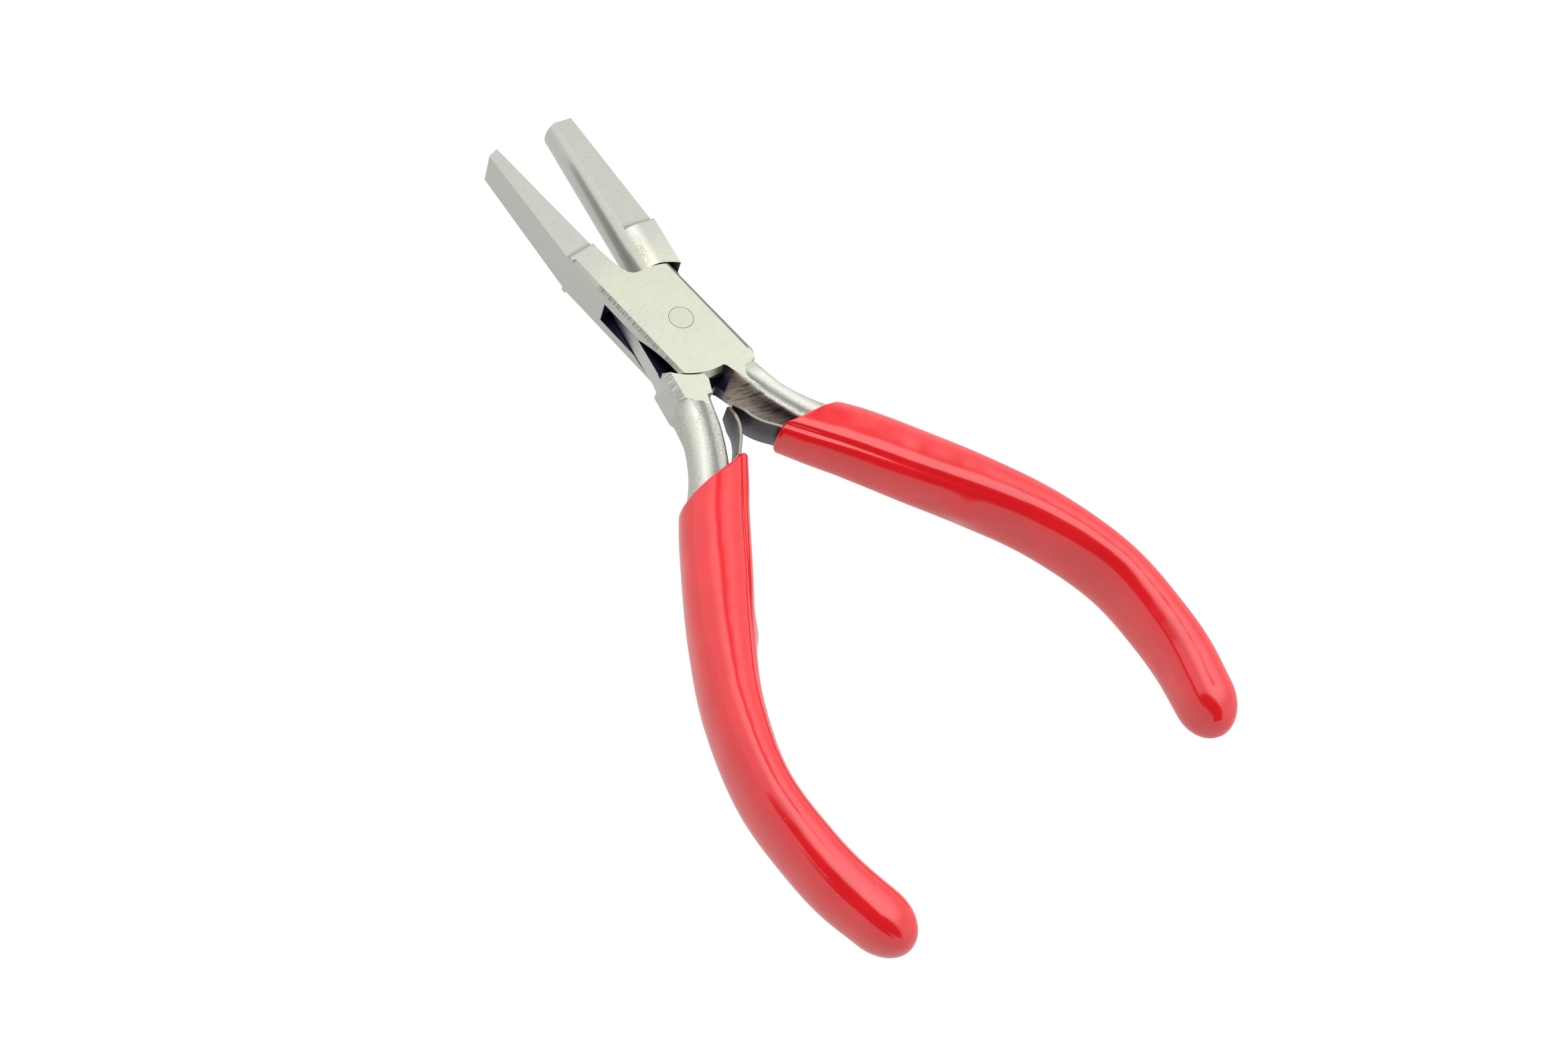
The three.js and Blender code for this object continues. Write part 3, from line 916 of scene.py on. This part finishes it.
def through(points: Sequence[Sequence[float]], t: float) -> list[float]:
    """A smooth curve through points, with centripetal spacing.

    Args:
        points: points of any dimension.
        t: from 0 at the first point to 1 at the last.

    Returns:
        The point at t.
    """
    last = len(points) - 1
    at = min(max(t, 0.0), 1.0) * last
    i = min(int(at), last - 1)
    w = at - i
    p1, p2 = points[i], points[i + 1]
    p0 = points[i - 1] if i > 0 else [2 * a - b for a, b in zip(p1, p2)]
    p3 = points[i + 2] if i + 2 <= last else [2 * b - a for a, b in zip(p1, p2)]
    pairs = ((p0, p1), (p1, p2), (p2, p3))
    gaps = [math.sqrt(max(math.dist(a, b), SMALLEST_GAP)) for a, b in pairs]
    made = []
    for a, b, c, d in zip(p0, p1, p2, p3):
        m1 = (b - a) / gaps[0] - (c - a) / (gaps[0] + gaps[1]) + (c - b) / gaps[1]
        m2 = (c - b) / gaps[1] - (d - b) / (gaps[1] + gaps[2]) + (d - c) / gaps[2]
        m1, m2 = m1 * gaps[1], m2 * gaps[1]
        made.append(
            b + m1 * w + (-3 * b + 3 * c - 2 * m1 - m2) * w**2 + (2 * b - 2 * c + m1 + m2) * w**3
        )
    return made


@dataclass
class Lever:
    """One forged lever, with the broken edges that grinding leaves."""

    node: str
    body: Body
    finish: LeverFinish
    edge_break: float = 0.10
    sharp_deg: float = 24.0
    crease_deg: float = 50.0
    flat_deg: float = 1.2
    weld: float = 0.004
    bevel_segments: int = 2
    flat_weight: int = 90

    def build(self) -> bpy.types.Object:
        """Builds the lever round its model's solid.

        Returns:
            The piece.
        """
        build = bmesh.new()
        build.from_mesh(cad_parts[self.node].data)
        bmesh.ops.remove_doubles(build, verts=build.verts, dist=self.weld * MM)
        bmesh.ops.dissolve_limit(
            build, angle_limit=math.radians(self.flat_deg), verts=build.verts, edges=build.edges
        )
        piece = new_piece(self.node + "_steel", build, self.finish.material())
        rounded = piece.modifiers.new("edge_break", "BEVEL")
        rounded.width = self.edge_break * MM
        rounded.segments = self.bevel_segments
        rounded.limit_method = "ANGLE"
        rounded.angle_limit = math.radians(self.sharp_deg)
        rounded.use_clamp_overlap = True
        apply_modifiers(piece)
        soften(piece.data, self.crease_deg)
        weighted = piece.modifiers.new("flat_faces", "WEIGHTED_NORMAL")
        weighted.mode = "FACE_AREA"
        weighted.weight = self.flat_weight
        weighted.keep_sharp = True
        apply_modifiers(piece)
        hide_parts(self.node)
        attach(piece, self.body.value)
        return piece


@dataclass
class Grip:
    """A dipped vinyl grip: a thick skin that follows the handle, the leaf and its rivet."""

    side: Side
    body: Body
    mouth: float
    mouth_slope: float
    mouth_wave: float
    cap: float = 6.6
    cap_end: float = 0.05
    inner_power: float = 2.6
    outer_power: float = 2.2
    around: int = 128
    along: int = 130
    dome_rings: int = 28
    crease_deg: float = 50.0
    slope_step: float = 0.002
    wave_deg: float = 128.0
    wave_width: float = 0.32
    fold_deg: tuple[float, float] = (131.0, 229.0)  # above and below the inner face
    fold_width: float = 0.10
    fold_in: float = 0.30
    fold_down: float = 0.32
    fold_from: float = 0.18
    fold_fade: float = 0.22
    groove_deg: float = 0.0
    groove_width: float = 0.035
    groove_depth: float = 0.07
    drip: float = 0.0
    drip_at: float = 0.95  # up the cap, as an angle
    drip_width: float = 0.10
    drip_toward: float = 2.2
    rivet_at: tuple[float, float] = (22.1, -50.4)
    rivet_bulge: float = 0.85
    rivet_spread: float = 3.0
    rivet_height: float = 2.6
    wall_start: float = 0.006
    wall_end: float = 0.994
    search_to: float = 0.6
    halvings: int = 24
    # The lining of the mouth, from inside: how far along, and how far in from the skin
    lining: tuple[Span, ...] = (
        (0.055, 1.15),
        (0.02, 1.1),
        (0.004, 1.0),
        (0.0, 0.72),
        (0.0, 0.42),
        (0.002, 0.16),
    )
    # Along the handle: X from the mirror line, Y, half the width and half the height
    stations: list[tuple[float, float, float, float]] = field(
        default_factory=lambda: [
            (2.6, -17.6, 4.2, 4.9),
            (6.5, -22.1, 4.5, 5.1),
            (10.2, -26.3, 5.05, 5.5),
            (14.1, -30.9, 5.4, 5.8),
            (20.3, -39.8, 5.35, 6.3),
            (26.3, -48.8, 4.9, 6.8),
            (32.0, -59.1, 4.3, 7.2),
            (36.1, -72.0, 3.75, 7.4),
            (36.4, -83.6, 3.9, 7.0),
            (35.7, -90.2, 4.1, 6.6),
            (34.1, -96.6, 4.15, 6.1),
        ]
    )

    def _mouth_y(self, angle: float) -> float:
        """The edge of the dip round the handle.

        Args:
            angle: round the section, 0 on the outer side and a quarter turn on top.

        Returns:
            Its Y, in millimetres.
        """
        wave = self.mouth_wave * bell(angle - math.radians(self.wave_deg), self.wave_width)
        return self.mouth + self.mouth_slope * math.cos(angle) + wave

    def _surface(self, t: float, angle: float, dome: float = 0.0, sink: float = 0.0) -> Point:
        """A point on the skin.

        Args:
            t: along the handle, from 0 to 1.
            angle: round the section.
            dome: 0 on the tube, to a quarter turn at the tip of the cap.
            sink: how far in from the skin.

        Returns:
            The point, in millimetres.
        """
        x, y, width, height = through(self.stations, t)
        next_x, next_y, _, _ = through(self.stations, min(t + self.slope_step, 1.0))
        last_x, last_y, _, _ = through(self.stations, max(t - self.slope_step, 0.0))
        ahead = Vector((next_x - last_x, next_y - last_y)).normalized()
        power = self.outer_power if math.cos(angle) >= 0 else self.inner_power
        section = max(math.cos(dome), self.cap_end)
        beyond = math.sin(dome) * self.cap
        grown = 1.0 - sink / min(width, height)
        across = signed_power(math.cos(angle), 2 / power) * width * section * grown
        rise = signed_power(math.sin(angle), 2 / power) * height * section * grown
        fold = math.exp(-max(t - self.fold_from, 0.0) / self.fold_fade)
        fold *= sum(bell(angle - math.radians(place), self.fold_width) for place in self.fold_deg)
        across += fold * self.fold_in
        rise -= math.copysign(fold * self.fold_down, math.sin(angle))
        drip = bell(dome - self.drip_at, self.drip_width)
        across -= self.drip * drip * max(math.cos(angle - self.drip_toward), 0.0)
        if self.groove_deg:
            groove = bell(angle - math.radians(self.groove_deg), self.groove_width)
            rise -= groove * self.groove_depth
        away = math.dist((x - ahead.y * across, y + ahead.x * across), self.rivet_at)
        bulge = bell(away, self.rivet_spread) * bell(rise, self.rivet_height) * self.rivet_bulge
        across -= bulge if math.cos(angle) < 0 else 0.0
        return (
            SYMMETRY_X + self.side.value * (x + ahead.x * beyond - ahead.y * across),
            y + ahead.y * beyond + ahead.x * across,
            MID_Z + rise,
        )

    def _start(self, angle: float) -> float:
        """Where along the handle the dip starts.

        Args:
            angle: round the section.

        Returns:
            The place, from 0 to 1.
        """
        low, high = 0.0, self.search_to
        for _ in range(self.halvings):
            middle = (low + high) / 2
            if self._surface(middle, angle)[1] > self._mouth_y(angle):
                low = middle
            else:
                high = middle
        return high

    def build(self, finish: VinylFinish) -> bpy.types.Object:
        """Builds the grip.

        Args:
            finish: the vinyl.

        Returns:
            The piece.
        """
        angles = [2 * math.pi * i / self.around for i in range(self.around)]
        starts = [self._start(angle) for angle in angles]
        rings = []
        for depth, sink in self.lining:
            rings.append([self._surface(s + depth, a, 0.0, sink) for s, a in zip(starts, angles)])
        for i in range(self.along + 1):
            w = i / self.along
            places = [s + self.wall_start + (self.wall_end - s) * w for s in starts]
            rings.append([self._surface(t, a) for t, a in zip(places, angles)])
        for i in range(1, self.dome_rings + 1):
            dome = math.pi / 2 * i / self.dome_rings
            rings.append([self._surface(1.0, a, dome) for a in angles])
        name = self.side.name.lower() + "_grip"
        piece = new_piece(name + "_skin", skin(rings), finish.material())
        soften(piece.data, self.crease_deg)
        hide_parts(name)
        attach(piece, self.body.value)
        return piece


@dataclass
class LeafSpring:
    """A leaf spring: one strip from its free tip to its riveted end inside the grip."""

    side: Side
    lever: Body
    blade: Body
    thickness: float = 0.6
    width: float = 5.6
    tip_chamfer: float = 0.9
    tip_taper: float = 2.2
    corner: float = 0.12
    steps: int = 90
    slope_step: float = 0.003
    crease_deg: float = 40.0
    line: list[tuple[float, float]] = field(
        default_factory=lambda: [
            (0.5, -16.3),
            (0.85, -17.9),
            (1.3, -19.8),
            (2.35, -21.7),
            (4.2, -23.8),
            (7.1, -27.1),
            (11.2, -32.4),
            (14.8, -37.8),
            (19.6, -45.3),
            (22.6, -50.2),
            (24.1, -52.6),
        ]
    )
    bend_from: tuple[float, float] = (8.1, -28.3)
    bend_to: tuple[float, float] = (5.6, -25.4)

    def _section(self, t: float) -> list[Point]:
        """The ring of points round the strip.

        Args:
            t: along the leaf, from its tip.

        Returns:
            The points, in millimetres.
        """
        x, y = through(self.line, t)
        next_x, next_y = through(self.line, t + self.slope_step)
        last_x, last_y = through(self.line, t - self.slope_step)
        ahead = Vector((next_x - last_x, next_y - last_y)).normalized()
        from_tip = abs(y - self.line[0][1])
        cut = self.tip_chamfer * max(0.0, 1.0 - from_tip / (self.tip_taper * self.tip_chamfer))
        half, thick, c = self.width / 2 - cut, self.thickness / 2, self.corner
        upper = [(thick - c, half), (thick, half - c), (thick, 0.0)]
        lower = [(a, -up) for a, up in reversed(upper[:2])]
        outline = upper + lower + [(-a, -up) for a, up in upper + lower]
        return [
            (SYMMETRY_X + self.side.value * (x - ahead.y * a), y + ahead.x * a, MID_Z + up)
            for a, up in outline
        ]

    def build(self, finish: SpringFinish) -> bpy.types.Object:
        """Builds the leaf, which bends where it leaves the grip.

        Args:
            finish: the steel.

        Returns:
            The piece.
        """
        rings = [self._section(i / self.steps) for i in range(self.steps + 1)]
        hand = self.side.name.lower()
        piece = new_piece(hand + "_leaf_spring", skin(rings), finish.material())
        soften(piece.data, self.crease_deg)
        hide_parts(hand + "_spring_blade", hand + "_spring_root")
        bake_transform(piece)
        return piece


@dataclass
class Rivets:
    """The pivot and the two spring rivets, which keep their model's shape."""

    nodes: tuple[str, ...] = ("pivot_rivet", "right_spring_rivet", "left_spring_rivet")

    def dress(self, finish: RivetFinish) -> list[bpy.types.Object]:
        """Gives the rivets their finish.

        Args:
            finish: the steel.

        Returns:
            The rivets.
        """
        material = finish.material()
        pieces = [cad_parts[name] for name in self.nodes]
        for piece in pieces:
            piece.data.materials.clear()
            piece.data.materials.append(material)
        return pieces


# ---- Camera and studio ----


@dataclass(frozen=True)
class Viewpoint:
    """Where the camera stands: high on the left, behind the handles."""

    position: Point = (-0.198444, -0.155369, 0.336397)
    turn_deg: Point = (31.113934, -12.91642, -38.094142)
    lens: float = 60.26
    sensor: float = 36.0
    clip_start: float = 0.01

    def build(self) -> None:
        """Makes the scene's camera."""
        data = bpy.data.cameras.new("camera")
        data.lens = self.lens
        data.sensor_width = self.sensor
        data.clip_start = self.clip_start
        camera = bpy.data.objects.new("camera", data)
        camera.location = self.position
        camera.rotation_euler = [math.radians(a) for a in self.turn_deg]
        bpy.context.scene.collection.objects.link(camera)
        bpy.context.scene.camera = camera


@dataclass(frozen=True)
class Studio:
    """A light tent, open on one side, over a white table."""

    wall: float = 1.05
    ceiling: float = 2.25
    opening: float = 0.10
    opening_toward: tuple[float, float] = (-125.0, 5.0)
    opening_deg: tuple[float, float] = (57.0, 49.0)
    seam_toward: float = 42.0
    seam_half_deg: float = 11.0
    seam_depth: float = 0.85
    seam_core: float = 0.25
    seam_ahead: Span = (0.1, 0.25)
    overhead: Span = (0.6, 1.0)
    table_size: float = 3.0
    table_drop: float = 0.0003
    table_seen: Colour = (1.0, 1.0, 1.0)
    table_glow: Colour = (0.68, 0.68, 0.67)
    table: Colour = (0.10, 0.10, 0.10)
    table_rough: float = 0.9

    def build(self) -> None:
        """Makes the table and the light."""
        scene = bpy.context.scene
        scene.view_settings.view_transform = "Standard"
        scene.view_settings.look = "None"
        low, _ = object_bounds()
        build = bmesh.new()
        bmesh.ops.create_grid(build, x_segments=1, y_segments=1, size=self.table_size)
        paint = Paint("table")
        paint.fix(Base_Color=(*self.table, 1.0), Roughness=self.table_rough, Emission_Strength=1.0)
        seen = paint.node("ShaderNodeLightPath", {}, {}, "Is Camera Ray")
        paint.link("Emission Color", paint.mix(seen, self.table_glow, self.table_seen))
        table = new_piece("table", build, paint.material)
        table.location.z = low.z - self.table_drop
        table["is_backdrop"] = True
        self._light(scene)

    def _light(self, scene: bpy.types.Scene) -> None:
        """Makes the tent, as light from all round.

        Args:
            scene: the scene to light.
        """
        world = bpy.data.worlds.new("tent")
        world.use_nodes = True
        scene.world = world
        tree = world.node_tree
        background = tree.nodes["Background"]
        background.inputs["Color"].default_value = (1.0, 1.0, 1.0, 1.0)
        toward = add_node(tree, "ShaderNodeTexCoord", {}, {}, "Generated")

        def along(direction: Vector) -> Value:
            """Returns how far the ray points along a direction."""
            settings = {"operation": "DOT_PRODUCT"}
            return add_node(tree, "ShaderNodeVectorMath", settings, {0: toward, 1: direction}, "Value")

        azimuth, elevation = (math.radians(a) for a in self.opening_toward)
        level = math.cos(elevation)
        open_side = Vector((math.sin(azimuth) * level, math.cos(azimuth) * level, math.sin(elevation)))
        near, far = (math.cos(math.radians(a)) for a in self.opening_deg)
        dark = along(open_side).rise(near, far)
        seam_angle = math.radians(self.seam_toward)
        ahead = Vector((math.sin(seam_angle), math.cos(seam_angle), 0.0))
        beside = Vector((math.cos(seam_angle), -math.sin(seam_angle), 0.0))
        width = math.sin(math.radians(self.seam_half_deg))
        seam = abs(along(beside)).rise(width, width * self.seam_core) * along(ahead).rise(*self.seam_ahead)
        overhead = along(Vector((0.0, 0.0, 1.0))).rise(*self.overhead)
        tent = overhead * (self.ceiling - self.wall) + (self.wall - self.opening)
        light = (1 - dark) * (1 - seam * self.seam_depth) * tent + self.opening
        lens = add_node(tree, "ShaderNodeLightPath", {}, {}, "Is Camera Ray")
        light = light * (1 - lens) + lens
        tree.links.new(light.socket, background.inputs["Strength"])


@dataclass(frozen=True)
class Pliers:
    """The whole tool, in the order in which its pieces are built."""

    flat_finish: LeverFinish = LeverFinish(
        "flat_jaw_steel",
        turn_deg=5.0,
        side=Side.RIGHT,
        streaked_to=12.5,
        forge_start=-12.1,
        rim_from=4.95,
        flare=1.2,
        stain_at=(7.0, -16.0),
        stain_size=(1.2, 1.6),
    )
    half_round_finish: LeverFinish = LeverFinish(
        "half_round_jaw_steel",
        turn_deg=-8.6,
        side=Side.LEFT,
        streaked_to=-5.0,
        forge_start=-13.2,
        stain_at=(0.4, 14.2),
        stain_size=(0.7, 2.6),
        tongue=True,
        polish=0.16,
        ridge_at=1.4,
        valley_at=-0.7,
    )
    vinyl: VinylFinish = VinylFinish()
    spring: SpringFinish = SpringFinish()
    rivet: RivetFinish = RivetFinish()

    def levers(self) -> list[bpy.types.Object]:
        """Builds the two levers.

        Returns:
            The flat-jaw lever and the half-round-jaw lever.
        """
        flat = Lever("flat_jaw_lever", Body.FLAT, self.flat_finish)
        half_round = Lever("half_round_jaw_lever", Body.ROUND, self.half_round_finish)
        return [flat.build(), half_round.build()]

    def grips(self) -> list[bpy.types.Object]:
        """Builds the two grips.

        Returns:
            The right grip and the left grip.
        """
        right = Grip(Side.RIGHT, Body.FLAT, mouth=-24.95, mouth_slope=-0.25, mouth_wave=0.5, drip=0.3)
        left = Grip(Side.LEFT, Body.ROUND, mouth=-26.2, mouth_slope=-0.9, mouth_wave=0.5, groove_deg=47.0)
        return [right.build(self.vinyl), left.build(self.vinyl)]

    def springs(self) -> list[bpy.types.Object]:
        """Builds the two leaf springs.

        Returns:
            The right leaf and the left leaf.
        """
        right = LeafSpring(Side.RIGHT, Body.FLAT, Body.RIGHT_BLADE)
        left = LeafSpring(Side.LEFT, Body.ROUND, Body.LEFT_BLADE)
        return [right.build(self.spring), left.build(self.spring)]

    def rivets(self) -> list[bpy.types.Object]:
        """Returns the pivot and the spring rivets, dressed."""
        return Rivets().dress(self.rivet)


def main() -> None:
    """Builds the scene in order."""
    logging.basicConfig(level=logging.INFO, format="%(message)s")
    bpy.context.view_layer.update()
    Viewpoint().build()
    Studio().build()
    pliers = Pliers()
    for build in (pliers.levers, pliers.grips, pliers.springs, pliers.rivets):
        for piece in build():
            LOG.info("%s: %d faces", piece.name, len(piece.data.polygons))
    bpy.context.view_layer.update()


if __name__ == "__main__":
    main()
